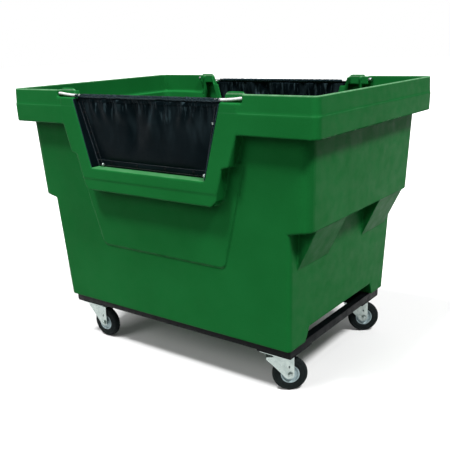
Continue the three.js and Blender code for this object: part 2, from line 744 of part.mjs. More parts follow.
[['front', (solid) => solid], ['rear', mirrorY]].forEach(([side, place]) => {
  addNode(`${side}_panel`, place(makePanel()), BLACK_VINYL);
  addNode(`${side}_hem`, place(makeHem()), BLACK_VINYL);
  addNode(`${side}_cord`, place(makeCord()), WHITE_CORD);
  addNode(`${side}_ferrule_right`, place(makeFerrule()), ZINC_STEEL);
  addNode(`${side}_ferrule_left`, place(mirrorX(makeFerrule())), ZINC_STEEL);
});

export default truck;
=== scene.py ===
"""The looks of a drop-side bulk truck: a moulded tub with vinyl drop sides, on a wheeled chassis."""

import json
import math

import bmesh
import bpy
import numpy as np
from mathutils import Matrix, Vector, noise

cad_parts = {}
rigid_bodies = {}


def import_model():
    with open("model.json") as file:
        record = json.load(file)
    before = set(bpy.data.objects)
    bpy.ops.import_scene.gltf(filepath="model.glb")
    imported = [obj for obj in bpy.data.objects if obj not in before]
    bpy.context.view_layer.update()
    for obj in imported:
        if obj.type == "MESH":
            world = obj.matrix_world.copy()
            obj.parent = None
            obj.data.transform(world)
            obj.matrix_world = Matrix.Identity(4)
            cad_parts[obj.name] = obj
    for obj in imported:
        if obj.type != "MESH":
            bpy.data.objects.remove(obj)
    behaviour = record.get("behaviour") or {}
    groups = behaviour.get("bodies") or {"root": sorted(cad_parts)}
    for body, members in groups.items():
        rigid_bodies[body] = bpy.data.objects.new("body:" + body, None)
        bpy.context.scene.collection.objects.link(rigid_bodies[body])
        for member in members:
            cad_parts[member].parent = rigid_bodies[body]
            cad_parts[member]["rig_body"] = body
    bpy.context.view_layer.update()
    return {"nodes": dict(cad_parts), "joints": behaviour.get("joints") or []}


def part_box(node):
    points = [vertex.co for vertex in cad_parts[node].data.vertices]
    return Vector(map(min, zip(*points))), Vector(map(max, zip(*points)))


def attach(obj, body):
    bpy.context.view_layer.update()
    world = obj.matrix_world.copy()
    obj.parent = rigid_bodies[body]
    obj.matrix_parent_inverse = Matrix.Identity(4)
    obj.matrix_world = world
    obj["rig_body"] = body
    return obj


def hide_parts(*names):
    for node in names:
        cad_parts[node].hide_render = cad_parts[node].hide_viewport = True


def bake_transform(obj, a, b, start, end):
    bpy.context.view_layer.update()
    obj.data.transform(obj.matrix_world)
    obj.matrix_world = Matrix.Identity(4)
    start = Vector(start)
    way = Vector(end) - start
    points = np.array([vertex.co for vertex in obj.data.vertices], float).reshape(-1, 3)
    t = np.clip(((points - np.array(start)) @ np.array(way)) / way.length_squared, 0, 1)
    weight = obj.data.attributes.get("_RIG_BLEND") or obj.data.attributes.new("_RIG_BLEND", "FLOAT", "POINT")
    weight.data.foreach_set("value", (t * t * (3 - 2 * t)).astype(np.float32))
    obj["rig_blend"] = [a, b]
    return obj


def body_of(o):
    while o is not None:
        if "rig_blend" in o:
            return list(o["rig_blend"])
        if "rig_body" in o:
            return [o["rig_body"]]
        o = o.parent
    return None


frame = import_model()

MM = 0.001
scene = bpy.context.scene

# ---------- places taken from the frame ----------

tub_low, tub_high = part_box("tub")
panel_low, panel_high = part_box("front_panel")
hem_low, hem_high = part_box("front_hem")
cord_low, cord_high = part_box("front_cord")

SILL_Z = panel_low.z - 1.5 * MM
MOUTH_Z = panel_high.z
MOUTH_HALF = panel_high.x
SILL_HALF = 0.2665  # half width of the vinyl at the sill
PANEL_Y = (panel_low.y + panel_high.y) / 2
HEM_Y = (hem_low.y + hem_high.y) / 2
HEM_Z = (hem_low.z + hem_high.z) / 2
HEM_HALF = hem_high.x
HEM_RADIUS = (hem_high.z - hem_low.z) / 2
JAMB_SLOPE = (MOUTH_HALF - SILL_HALF) / (MOUTH_Z - SILL_Z)
FACE_Y = tub_low.y  # outer face of the frame round the opening
TOP_Z = tub_high.z - 6 * MM  # top of the rim, below its ears
CLOTH_TOP_Z = HEM_Z - HEM_RADIUS - 4 * MM
CLOTH_LOW_Z = SILL_Z + 2 * MM
CREASE_Z = TOP_Z - 59 * MM  # fine moulding line round the rim's skirt, along which a pale highlight is painted
SIDES = {"front": 1, "rear": -1}  # the rear side is the front one with y turned round


# ---------- camera, light and floor ----------

def add_camera():
    """The camera looks down a little at the front right corner."""
    yaw, pitch, roll = 0.641, 0.270, -0.034
    data = bpy.data.cameras.new("camera")
    data.sensor_width = 36
    data.lens = 53.98
    data.shift_x = -0.0056
    camera = bpy.data.objects.new("camera", data)
    turn = (
        Matrix.Rotation(yaw, 4, "Z")
        @ Matrix.Rotation(math.pi / 2 - pitch, 4, "X")
        @ Matrix.Rotation(roll, 4, "Z")
    )
    camera.matrix_world = Matrix.Translation((1.6184, -2.1443, 1.2183)) @ turn
    scene.collection.objects.link(camera)
    scene.camera = camera


def add_light(name, toward, strength, spread):
    """A broad distant light, which lights the floor evenly; toward points from the truck to it."""
    data = bpy.data.lights.new(name, "SUN")
    data.energy = strength
    data.angle = math.radians(spread)
    light = bpy.data.objects.new(name, data)
    light.location = toward
    light.rotation_euler = (-Vector(toward)).to_track_quat("-Z", "Y").to_euler()
    scene.collection.objects.link(light)


HORIZON_LIGHT, OVERHEAD_LIGHT = 0.16, 0.50  # strength of the sky's light
FLOOR_REACH = 30


def studio_world():
    """A white studio, whose light is brighter overhead than at the horizon."""
    world = bpy.data.worlds.new("studio")
    world.use_nodes = True
    nodes, links = world.node_tree.nodes, world.node_tree.links
    background = nodes["Background"]
    background.inputs["Color"].default_value = (1, 1, 1, 1)
    direction = nodes.new("ShaderNodeTexCoord")
    split = nodes.new("ShaderNodeSeparateXYZ")
    links.new(direction.outputs["Generated"], split.inputs["Vector"])
    overhead = nodes.new("ShaderNodeMapRange")
    overhead.inputs["To Min"].default_value = HORIZON_LIGHT
    overhead.inputs["To Max"].default_value = OVERHEAD_LIGHT
    links.new(split.outputs["Z"], overhead.inputs["Value"])
    seen = nodes.new("ShaderNodeLightPath")
    strength = nodes.new("ShaderNodeMix")
    links.new(seen.outputs["Is Camera Ray"], strength.inputs["Factor"])
    links.new(overhead.outputs["Result"], strength.inputs["A"])
    strength.inputs["B"].default_value = 1.0  # the camera sees it white
    links.new(strength.outputs["Result"], background.inputs["Strength"])
    return world


def add_stage():
    """The lights, the white floor and the studio round it."""
    scene.view_settings.view_transform = "Standard"
    add_light("key_light", (-0.3, -1.15, 2.7), 3.3, 8)
    add_light("right_light", (1.6, -0.5, 2.4), 3.6, 12)
    add_light("front_light", (-0.9, -2.4, 1.7), 0.9, 30)
    scene.world = studio_world()
    floor_mesh = bpy.data.meshes.new("floor")
    corners = [(x * FLOOR_REACH, y * FLOOR_REACH, 0) for x, y in ((-1, -1), (1, -1), (1, 1), (-1, 1))]
    floor_mesh.from_pydata(corners, [], [(0, 1, 2, 3)])
    floor = bpy.data.objects.new("floor", floor_mesh)
    scene.collection.objects.link(floor)
    floor.visible_diffuse = False  # it throws no light up the walls, whose lower parts stay dark
    paint = bpy.data.materials.new("studio_floor")
    paint.use_nodes = True
    shader = paint.node_tree.nodes["Principled BSDF"]
    shader.inputs["Base Color"].default_value = (0.80, 0.80, 0.80, 1)
    shader.inputs["Roughness"].default_value = 0.7
    floor_mesh.materials.append(paint)


# ---------- materials ----------

class Look:
    """A Principled material whose colour, roughness and bump are built up from procedural nodes."""

    def __init__(self, name, roughness, metallic=0.0):
        self.material = bpy.data.materials.new(name)
        self.material.use_nodes = True
        self.nodes = self.material.node_tree.nodes
        self.links = self.material.node_tree.links
        self.shader = self.nodes["Principled BSDF"]
        self.shader.inputs["Roughness"].default_value = roughness
        self.shader.inputs["Metallic"].default_value = metallic
        coordinates = self.nodes.new("ShaderNodeTexCoord")
        self.place = coordinates.outputs["Object"]
        self.uv = coordinates.outputs["UV"]
        self.normal = None

    def scaled(self, x, y, z, source=None):
        mapping = self.nodes.new("ShaderNodeMapping")
        mapping.inputs["Scale"].default_value = (x, y, z)
        self.links.new(source or self.place, mapping.inputs["Vector"])
        return mapping.outputs["Vector"]

    def along(self, axis, source=None):
        """One coordinate of the place, or of the source given."""
        split = self.nodes.new("ShaderNodeSeparateXYZ")
        self.links.new(source or self.place, split.inputs["Vector"])
        return split.outputs[axis]

    def noise(self, scale, detail=3.0, roughness=0.5, source=None):
        node = self.nodes.new("ShaderNodeTexNoise")
        node.inputs["Scale"].default_value = scale
        node.inputs["Detail"].default_value = detail
        node.inputs["Roughness"].default_value = roughness
        self.links.new(source or self.place, node.inputs["Vector"])
        return node.outputs["Fac"]

    def range(self, value, low, high, to_low=0.0, to_high=1.0):
        node = self.nodes.new("ShaderNodeMapRange")
        node.inputs["From Min"].default_value = low
        node.inputs["From Max"].default_value = high
        node.inputs["To Min"].default_value = to_low
        node.inputs["To Max"].default_value = to_high
        self.links.new(value, node.inputs["Value"])
        return node.outputs["Result"]

    def math(self, kind, a, b):
        node = self.nodes.new("ShaderNodeMath")
        node.operation = kind
        for socket, value in zip(node.inputs, (a, b)):
            if isinstance(value, (int, float)):
                socket.default_value = value
            else:
                self.links.new(value, socket)
        return node.outputs["Value"]

    def mix(self, amount, a, b):
        node = self.nodes.new("ShaderNodeMix")
        node.data_type = "RGBA"
        if isinstance(amount, (int, float)):
            node.inputs["Factor"].default_value = amount
        else:
            self.links.new(amount, node.inputs["Factor"])
        for socket, value in ((node.inputs["A"], a), (node.inputs["B"], b)):
            if isinstance(value, tuple):
                socket.default_value = (*value, 1)
            else:
                self.links.new(value, socket)
        return node.outputs["Result"]

    def color(self, value):
        self.links.new(value, self.shader.inputs["Base Color"])

    def rough(self, value):
        self.links.new(value, self.shader.inputs["Roughness"])

    def bump(self, height, distance, strength=1.0):
        node = self.nodes.new("ShaderNodeBump")
        node.inputs["Distance"].default_value = distance
        node.inputs["Strength"].default_value = strength
        self.links.new(height, node.inputs["Height"])
        if self.normal is not None:
            self.links.new(self.normal, node.inputs["Normal"])
        self.normal = node.outputs["Normal"]
        self.links.new(self.normal, self.shader.inputs["Normal"])


def moulded_plastic():
    """Green polyethylene: orange peel, faint mottling and light scuffs, with pale painted highlights on the
    rim's top edge, the sill's top face and the moulding line.
    """
    look = Look("green_polyethylene", 0.42)
    look.shader.inputs["Specular IOR Level"].default_value = 0.03
    mottle = look.range(look.noise(5, 4), 0.35, 0.65)
    green = look.mix(mottle, (0.0052, 0.102, 0.0190), (0.0066, 0.116, 0.0232))
    grain = look.range(look.noise(420, 2), 0.3, 0.7)
    green = look.mix(look.math("MULTIPLY", grain, 0.25), green, (0.012, 0.150, 0.040))
    streaks = look.noise(9, 6, 0.75, look.scaled(1, 1, 14))
    height = look.along("Z")
    here_and_there = look.range(look.noise(3.5, 2), 0.5, 0.62)
    scuffs = look.math("MULTIPLY", look.range(streaks, 0.66, 0.72), here_and_there)
    low_down = look.range(height, 0.62, 0.2)
    scuffs = look.math("MULTIPLY", scuffs, look.math("MULTIPLY", low_down, 0.35))
    green = look.mix(scuffs, green, (0.05, 0.18, 0.08))
    # Painted highlight: a pale band along the rim's top edge, where the top light catches it.
    rim_top_highlight = look.range(height, TOP_Z - 5.0 * MM, TOP_Z - 2.8 * MM)
    below_ear = look.range(height, TOP_Z + 1.5 * MM, TOP_Z + 0.8 * MM)
    # Painted highlight: the sill's top face between the jambs, pale where the top light catches it.
    sill_face = look.math("MULTIPLY", look.range(height, SILL_Z - 1.6 * MM, SILL_Z - 0.6 * MM),
                          look.range(height, SILL_Z + 1.6 * MM, SILL_Z + 0.8 * MM))
    from_middle = look.math("ABSOLUTE", look.along("X"), 0.0)
    inside_jambs = look.range(from_middle, SILL_HALF - 1 * MM, SILL_HALF - 4 * MM)
    sill_highlight = look.math("MULTIPLY", look.math("MULTIPLY", sill_face, 0.35), inside_jambs)
    # Both painted highlights are broken up by patchy noise and mixed in pale.
    painted_shine = look.math("MAXIMUM", look.math("MULTIPLY", rim_top_highlight, below_ear), sill_highlight)
    patchy = look.range(look.noise(38, 4, 0.6), 0.25, 0.6, 0.45, 1.0)
    green = look.mix(look.math("MULTIPLY", painted_shine, patchy), green, (0.11, 0.25, 0.13))
    across_middle = look.math("ABSOLUTE", look.along("Y"), 0.0)
    outside = look.math("MAXIMUM", look.range(across_middle, -FACE_Y - 7 * MM, -FACE_Y - 5 * MM),
                        look.range(from_middle, tub_high.x - 7 * MM, tub_high.x - 5 * MM))
    # Painted highlight: a pale line on the outer faces along the moulding line round the rim's skirt, where
    # it catches the light.
    crease = look.math("MULTIPLY", look.range(height, CREASE_Z - 1.4 * MM, CREASE_Z - 0.4 * MM),
                       look.range(height, CREASE_Z + 1.4 * MM, CREASE_Z + 0.4 * MM))
    crease = look.math("MULTIPLY", look.math("MULTIPLY", crease, outside), patchy)
    green = look.mix(look.math("MULTIPLY", crease, 0.5), green, (0.03, 0.17, 0.06))
    look.color(green)
    look.rough(look.range(look.noise(26, 4), 0.3, 0.7, 0.42, 0.58))
    look.bump(look.noise(2.2, 2), 2.0 * MM, 0.5)
    look.bump(look.noise(190, 3, 0.6), 0.35 * MM, 0.55)
    return look.material


def painted_steel():
    """Black chassis paint: slightly uneven, with dust and a few worn spots."""
    look = Look("black_chassis_paint", 0.45)
    dust = look.range(look.noise(30, 5, 0.6), 0.5, 0.75)
    look.shader.inputs["Specular IOR Level"].default_value = 0.06
    black = look.mix(look.math("MULTIPLY", dust, 0.3), (0.0016, 0.0022, 0.0028), (0.009, 0.010, 0.010))
    worn = look.range(look.noise(75, 4, 0.7), 0.70, 0.74)
    look.color(look.mix(look.math("MULTIPLY", worn, 0.5), black, (0.05, 0.05, 0.05)))
    look.rough(look.range(look.noise(40, 3), 0.3, 0.7, 0.35, 0.6))
    look.bump(look.noise(260, 3), 0.25 * MM, 0.5)
    return look.material


def zinc_plate():
    """Bright zinc plating on pressed steel, with a faint spangle and dull patches."""
    look = Look("zinc_plated_steel", 0.32, 0.95)
    patches = look.range(look.noise(45, 4, 0.6), 0.3, 0.7)
    look.color(look.mix(patches, (0.22, 0.265, 0.255), (0.37, 0.42, 0.40)))
    look.rough(look.range(look.noise(90, 3), 0.3, 0.7, 0.24, 0.44))
    look.bump(look.noise(320, 2), 0.12 * MM, 0.5)
    return look.material


def tread_rubber():
    """Grey-black tyre rubber, dusty and scuffed on its tread."""
    look = Look("grey_tyre_rubber", 0.7)
    dust = look.range(look.noise(120, 5, 0.65), 0.35, 0.7)
    look.shader.inputs["Specular IOR Level"].default_value = 0.08
    look.color(look.mix(dust, (0.0040, 0.0065, 0.0068), (0.013, 0.018, 0.018)))
    look.rough(look.range(look.noise(60, 3), 0.3, 0.7, 0.6, 0.85))
    look.bump(look.noise(500, 3), 0.2 * MM, 0.6)
    return look.material


def hub_metal():
    """The hub's cast metal, blue-grey and slightly grainy."""
    look = Look("cast_hub", 0.45, 0.5)
    patches = look.range(look.noise(150, 4, 0.6), 0.3, 0.7)
    look.color(look.mix(patches, (0.20, 0.27, 0.285), (0.30, 0.385, 0.40)))
    look.rough(look.range(look.noise(200, 3), 0.3, 0.7, 0.35, 0.6))
    look.bump(look.noise(420, 3), 0.15 * MM, 0.6)
    return look.material


THREADS_SCALE = 420  # how fine the weave is


def coated_cloth(name, weave_strength=0.5, shade=1.0, shine=0.03, painted_highlights=None):
    """Black vinyl-coated cloth: a fine plain weave shows through a soft semi-matt coating, with broad
    patches of painted sheen.

    painted_highlights(look) gives how strongly pale painted highlights lie there, from 0 to 1.
    """
    look = Look(name, 0.45)
    warp_and_weft = []
    for direction in "XY":
        wave = look.nodes.new("ShaderNodeTexWave")
        wave.bands_direction = direction
        wave.inputs["Scale"].default_value = THREADS_SCALE
        look.links.new(look.uv, wave.inputs["Vector"])
        warp_and_weft.append(wave.outputs["Fac"])
    threads = look.math("MULTIPLY", *warp_and_weft)
    # Painted sheen: the base colour goes from dark to the lighter tone in broad noise patches, standing in
    # for soft shine on the coating.
    painted_shine = look.range(look.noise(6, 3, 0.55, look.uv), 0.42, 0.68)
    look.shader.inputs["Specular IOR Level"].default_value = shine
    dark, light, thread = (0.0005, 0.0016, 0.0021), (0.0018, 0.0042, 0.0052), (0.0040, 0.0070, 0.0090)
    base = look.mix(painted_shine, tuple(shade * c for c in dark), tuple(shade * c for c in light))
    cloth = look.mix(look.math("MULTIPLY", threads, 0.2), base, tuple(shade * c for c in thread))
    if painted_highlights:
        # The pale colour of painted highlights, mixed in where the given mask says.
        cloth = look.mix(painted_highlights(look), cloth, (0.040, 0.066, 0.076))
    look.color(cloth)
    look.shader.inputs["Specular Tint"].default_value = (0.40, 0.80, 1.0, 1)
    look.shader.inputs["Sheen Weight"].default_value = 0.04
    look.shader.inputs["Sheen Roughness"].default_value = 0.35
    look.shader.inputs["Sheen Tint"].default_value = (0.55, 0.8, 1.0, 1)
    look.rough(look.range(look.noise(55, 4, 0.6, look.uv), 0.3, 0.7, 0.33, 0.43))
    look.bump(look.noise(11, 2, 0.5, look.uv), 4.0 * MM, 0.5)
    look.bump(look.noise(60, 4, 0.55, look.uv), 0.5 * MM, 0.3)
    look.bump(threads, 0.12 * MM, weave_strength)
    return look.material


def gather_highlights(look):
    """Painted highlights: pale streaks that run down a few centimetres from the hem, where the gathers catch
    the light, and softer pale bands of painted sheen on the folds round them.
    """
    height = look.along("Y", look.uv)
    streaks = look.range(look.noise(1, 3, 0.6, look.scaled(62, 10, 1, look.uv)), 0.53, 0.72)
    reach = look.noise(1, 2, 0.5, look.scaled(16, 0, 1, look.uv))
    reach = look.range(reach, 0.3, 0.7, CLOTH_TOP_Z - 22 * MM, CLOTH_TOP_Z - 95 * MM)
    near_hem = look.range(look.math("SUBTRACT", height, reach), 0.0, 26 * MM)
    streaks = look.math("MULTIPLY", streaks, look.math("MULTIPLY", near_hem, 0.8))
    # Painted sheen: softer pale bands on the folds in the upper part of the panel.
    soft = look.range(look.noise(1, 2, 0.5, look.scaled(19, 6, 1, look.uv)), 0.50, 0.72)
    upper = look.range(height, CLOTH_LOW_Z + 70 * MM, CLOTH_TOP_Z - 40 * MM)
    return look.math("MAXIMUM", streaks, look.math("MULTIPLY", soft, look.math("MULTIPLY", upper, 0.3)))


def hem_glints(look):
    """Painted glints: the ridges of the gathered hem made pale, where they catch the light."""
    ridges = look.noise(1, 3, 0.65, look.scaled(150, 210, 1, look.uv))
    return look.math("MULTIPLY", look.range(ridges, 0.53, 0.66), 0.9)


def braided_sleeve():
    """White braided cover of the elastic cord: crossing diagonal bundles, with painted shade making the
    hollows between them grey.
    """
    look = Look("white_braid", 0.6)
    bands = []
    for slant in (1, -1):
        wave = look.nodes.new("ShaderNodeTexWave")
        wave.bands_direction = "X"
        wave.inputs["Scale"].default_value = 1.0
        mapping = look.nodes.new("ShaderNodeMapping")
        mapping.inputs["Rotation"].default_value = (0, 0, slant * math.radians(38))
        mapping.inputs["Scale"].default_value = (190, 190, 1)
        look.links.new(look.uv, mapping.inputs["Vector"])
        look.links.new(mapping.outputs["Vector"], wave.inputs["Vector"])
        bands.append(wave.outputs["Fac"])
    braid = look.math("MAXIMUM", bands[0], bands[1])
    dirt = look.range(look.noise(60, 4, 0.6, look.uv), 0.4, 0.75)
    # Painted shade: the hollows between the bundles are grey.
    braid_with_painted_shade = look.mix(braid, (0.30, 0.31, 0.32), (0.74, 0.75, 0.75))
    look.color(look.mix(look.math("MULTIPLY", dirt, 0.4), braid_with_painted_shade, (0.34, 0.35, 0.34)))
    look.bump(braid, 0.5 * MM, 0.8)
    return look.material


def sewing_thread():
    """Black thread with a slight fuzz."""
    look = Look("black_thread", 0.6)
    fuzz = look.range(look.noise(900, 2), 0.3, 0.7)
    look.color(look.mix(fuzz, (0.03, 0.032, 0.036), (0.07, 0.072, 0.078)))
    look.bump(look.noise(1500, 2), 0.1 * MM, 0.6)
    return look.material


PLASTIC = moulded_plastic()
PAINT = painted_steel()
ZINC = zinc_plate()
RUBBER = tread_rubber()
HUB = hub_metal()
VINYL = coated_cloth("black_vinyl_cloth", painted_highlights=gather_highlights)
WEBBING = coated_cloth("black_border_webbing", 1.0, 1.5)
HEM_VINYL = coated_cloth("hem_vinyl", 0.3, 1.0, 0.2, hem_glints)
PIPING = coated_cloth("blue_black_piping", 0.3, 7.0, 0.3)
BRAID = braided_sleeve()
THREAD = sewing_thread()


# ---------- mesh helpers ----------

def smooth_faces(mesh):
    for polygon in mesh.polygons:
        polygon.use_smooth = True


def add_piece(name, mesh, material, smooth_angle=None):
    """A smooth-shaded object of the mesh; edges sharper than smooth_angle degrees stay sharp."""
    mesh.materials.clear()
    mesh.materials.append(material)
    smooth_faces(mesh)
    for polygon in mesh.polygons:
        polygon.material_index = 0
    if smooth_angle is not None:
        mesh.set_sharp_from_angle(angle=math.radians(smooth_angle))
    piece = bpy.data.objects.new(name, mesh)
    scene.collection.objects.link(piece)
    return piece


def mesh_of(name, vertices, faces):
    mesh = bpy.data.meshes.new(name)
    mesh.from_pydata([tuple(v) for v in vertices], [], faces)
    mesh.update()
    return mesh


def with_modifiers(piece, settings):
    """Adds the modifiers, in order, and applies them all."""
    for kind, values in settings:
        modifier = piece.modifiers.new(kind.lower(), kind)
        for key, value in values.items():
            setattr(modifier, key, value)
    depsgraph = bpy.context.evaluated_depsgraph_get()
    result = bpy.data.meshes.new_from_object(piece.evaluated_get(depsgraph))
    piece.modifiers.clear()
    piece.data = result
    return piece


def copy_of_node(node):
    """The CAD node's mesh with its doubled corners merged and its flat faces whole."""
    mesh = frame["nodes"][node].data.copy()
    work = bmesh.new()
    work.from_mesh(mesh)
    bmesh.ops.remove_doubles(work, verts=work.verts, dist=1e-6)
    bmesh.ops.dissolve_limit(work, angle_limit=math.radians(0.5), verts=work.verts, edges=work.edges)
    work.to_mesh(mesh)
    work.free()
    mesh.name = node + "_mesh"
    return mesh


def softened(node, radius, material):
    """A copy of a CAD node with its hard edges rounded, which rides with it and stands for it."""
    piece = add_piece(node + "_piece", copy_of_node(node), material)
    with_modifiers(piece, [
        ("BEVEL", {"width": radius, "segments": 3, "limit_method": "ANGLE",
                   "angle_limit": math.radians(35), "use_clamp_overlap": True,
                   "harden_normals": False, "miter_outer": "MITER_ARC"}),
    ])
    smooth_faces(piece.data)
    piece.data.set_sharp_from_angle(angle=math.radians(40))
    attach(piece, body_of(frame["nodes"][node])[0])
    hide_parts(node)
    return piece


def lathe(profile, segments, centre, axis):
    """Vertices and faces of a closed [radius, height] loop turned about an axis through centre."""
    turn = Vector((0, 0, 1)).rotation_difference(Vector(axis)).to_matrix()
    vertices = []
    for k in range(segments):
        angle = 2 * math.pi * k / segments
        for radius, height in profile:
            local = Vector((radius * math.cos(angle), radius * math.sin(angle), height))
            vertices.append(Vector(centre) + turn @ local)
    count = len(profile)
    faces = []
    for k in range(segments):
        for i in range(count):
            a = k * count + i
            b = k * count + (i + 1) % count
            shift = ((k + 1) % segments) * count - k * count
            faces.append((a, a + shift, b + shift, b))
    return vertices, faces


def tube(path, radius, sides, radius_at=None):
    """Vertices, faces and UVs of a tube along a list of points; its ends are closed."""
    points = [Vector(p) for p in path]
    vertices = []
    uvs = []
    side_axis = Vector((0, 1, 0))
    travelled = 0.0
    for i, point in enumerate(points):
        ahead = points[min(i + 1, len(points) - 1)]
        behind = points[max(i - 1, 0)]
        forward = (ahead - behind).normalized()
        across = (side_axis - forward * side_axis.dot(forward)).normalized()
        upward = forward.cross(across)
        if i:
            travelled += (point - points[i - 1]).length
        for k in range(sides):
            angle = 2 * math.pi * k / sides
            r = radius if radius_at is None else radius_at(point, angle)
            vertices.append(point + across * (r * math.cos(angle)) + upward * (r * math.sin(angle)))
            uvs.append((travelled, radius * angle))
    faces = []
    for i in range(len(points) - 1):
        for k in range(sides):
            a = i * sides + k
            b = i * sides + (k + 1) % sides
            faces.append((a, b, b + sides, a + sides))
    faces.append(tuple(reversed(range(sides))))
    faces.append(tuple(range((len(points) - 1) * sides, len(points) * sides)))
    return vertices, faces, uvs


def set_uvs(mesh, uvs):
    layer = mesh.uv_layers.new(name="cut")
    for loop in mesh.loops:
        layer.data[loop.index].uv = uvs[loop.vertex_index]


def face_outwards(mesh):
    work = bmesh.new()
    work.from_mesh(mesh)
    bmesh.ops.recalc_face_normals(work, faces=work.faces)
    work.to_mesh(mesh)
    work.free()
    return mesh


def turned_to_rear(mesh):
    """The mesh turned half round about the vertical, from the front side to the rear one."""
    copy = mesh.copy()
    copy.transform(Matrix.Rotation(math.pi, 4, "Z"))
    return copy


def smooth_path(points, steps):
    """A centripetal Catmull-Rom curve through the points."""
    pts = [Vector(p) for p in points]
    pts = [2 * pts[0] - pts[1], *pts, 2 * pts[-1] - pts[-2]]
    path = []
    for i in range(1, len(pts) - 2):
        p0, p1, p2, p3 = pts[i - 1:i + 3]
        t0 = 0.0
        t1 = t0 + (p1 - p0).length ** 0.5
        t2 = t1 + (p2 - p1).length ** 0.5
        t3 = t2 + (p3 - p2).length ** 0.5
        for k in range(steps):
            t = t1 + (t2 - t1) * k / steps
            a1 = p0 * ((t1 - t) / (t1 - t0)) + p1 * ((t - t0) / (t1 - t0))
            a2 = p1 * ((t2 - t) / (t2 - t1)) + p2 * ((t - t1) / (t2 - t1))
            a3 = p2 * ((t3 - t) / (t3 - t2)) + p3 * ((t - t2) / (t3 - t2))
            b1 = a1 * ((t2 - t) / (t2 - t0)) + a2 * ((t - t0) / (t2 - t0))
            b2 = a2 * ((t3 - t) / (t3 - t1)) + a3 * ((t - t1) / (t3 - t1))
            path.append(b1 * ((t2 - t) / (t2 - t1)) + b2 * ((t - t1) / (t2 - t1)))
    path.append(pts[-2])
    return path


# ---------- tub ----------

TUB_VOXEL, TUB_VOXEL_QUICK = 3.4 * MM, 6 * MM  # how coarsely the tub is remeshed


def add_tub():
    """The tub with a moulding's soft corners: remeshed, laid back on its flat walls and smoothed."""
    piece = add_piece("tub_moulding", frame["nodes"]["tub"].data.copy(), PLASTIC)
    walls = bpy.data.objects.new("tub_walls", frame["nodes"]["tub"].data.copy())
    scene.collection.objects.link(walls)
    voxel = TUB_VOXEL
    with_modifiers(piece, [
        ("WELD", {"merge_threshold": 1e-6}),
        ("REMESH", {"mode": "VOXEL", "voxel_size": voxel, "adaptivity": 0.0}),
        ("SHRINKWRAP", {"target": walls, "wrap_method": "NEAREST_SURFACEPOINT"}),
        ("SMOOTH", {"factor": 0.5, "iterations": 4}),
        ("DECIMATE", {"ratio": 0.14}),
        ("WEIGHTED_NORMAL", {"mode": "FACE_AREA", "weight": 50, "keep_sharp": False}),
    ])
    bpy.data.objects.remove(walls)
    smooth_faces(piece.data)
    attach(piece, "truck")
    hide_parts("tub")


# ---------- chassis and casters ----------

METAL_NODES = [
    ("rail", 1.0 * MM, PAINT, "black_steel"),
    ("pad", 0.8 * MM, PAINT, "black_steel"),
    ("tub_bolt", 0.5 * MM, ZINC, "zinc_steel"),
    ("_plate", 0.7 * MM, ZINC, "zinc_steel"),
    ("_race", 1.0 * MM, ZINC, "zinc_steel"),
    ("_kingpin", 0.6 * MM, ZINC, "zinc_steel"),
    ("_fork", 0.8 * MM, ZINC, "zinc_steel"),
    ("_axle", 0.6 * MM, ZINC, "zinc_steel"),
    ("_ferrule", 1.5 * MM, ZINC, "zinc_steel"),
]


def add_metal():
    for node in sorted(frame["nodes"]):
        for part, radius, material, slot in METAL_NODES:
            if part in node:
                softened(node, radius, material)
                break


def wheel_joints():
    return {j["child"]: j for j in frame["joints"] if j["name"].endswith("_wheel_spin")}


TREAD_HALF = 15.8 * MM  # half of the tyre's width
TYRE_INNER = 34.2 * MM


def add_wheel(body, joint):
    """The tyre with its crowned tread and side beads, and the dished hub with its bearing boss."""
    caster = body.removesuffix("_wheel")
    tyre_node = f"caster_{caster}_tyre"
    hub_node = f"caster_{caster}_hub"
    centre, axis = joint["pos_m"], joint["axis"]
    outer = centre[2]
    half = TREAD_HALF
    inner = TYRE_INNER
    tyre = [
        (inner, -half + 1 * MM), (inner + 2 * MM, -half), (outer - 16 * MM, -half),
        (outer - 14.5 * MM, -half + 1 * MM), (outer - 13 * MM, -half + 1 * MM),
        (outer - 11 * MM, -half + 0.2 * MM), (outer - 7 * MM, -half + 1.2 * MM),
        (outer - 3.5 * MM, -half + 3.8 * MM), (outer - 1.2 * MM, -half + 7.5 * MM),
        (outer - 0.3 * MM, -half + 11 * MM),
    ]
    tyre = tyre + [(outer, 0)] + [(r, -h) for r, h in reversed(tyre)]
    vertices, faces = lathe(tyre, 96, centre, axis)
    mesh = face_outwards(mesh_of("tyre", vertices, faces))
    piece = add_piece(f"{caster}_tyre", mesh, RUBBER, 50)
    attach(piece, body)
    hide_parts(tyre_node)
    hub = [
        (6.4 * MM, -17 * MM), (10.5 * MM, -17 * MM), (12 * MM, -16 * MM), (12.6 * MM, -11 * MM),
        (15 * MM, -9.6 * MM), (24 * MM, -9 * MM), (27 * MM, -10.4 * MM), (29 * MM, -14 * MM),
        (31 * MM, -15 * MM), (33.4 * MM, -14.6 * MM),
    ]
    hub = hub + [(r, -h) for r, h in reversed(hub)]
    vertices, faces = lathe(hub, 64, centre, axis)
    mesh = face_outwards(mesh_of("hub", vertices, faces))
    piece = add_piece(f"{caster}_hub", mesh, HUB, 40)
    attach(piece, body)
    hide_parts(hub_node)


# ---------- drop sides: shape ----------

def half_width(z):
    return SILL_HALF + (z - SILL_Z) * JAMB_SLOPE


def gather(x):
    """The in-and-out of the gathered cloth along the hem, from -1 to 1, in uneven groups."""
    wander = 2.6 * math.sin(x * 21) + 1.3 * math.sin(x * 47 + 1.0)
    coarse = math.sin(x * 2 * math.pi / 0.029 + wander)
    fine = math.sin(x * 2 * math.pi / 0.0135 + 2.3 * wander)
    group = 0.55 + 0.45 * noise.noise(Vector((x * 14, 0.5, 7.7))) * 1.6
    return (0.55 * coarse + 0.45 * fine) * min(1.0, max(0.25, group))


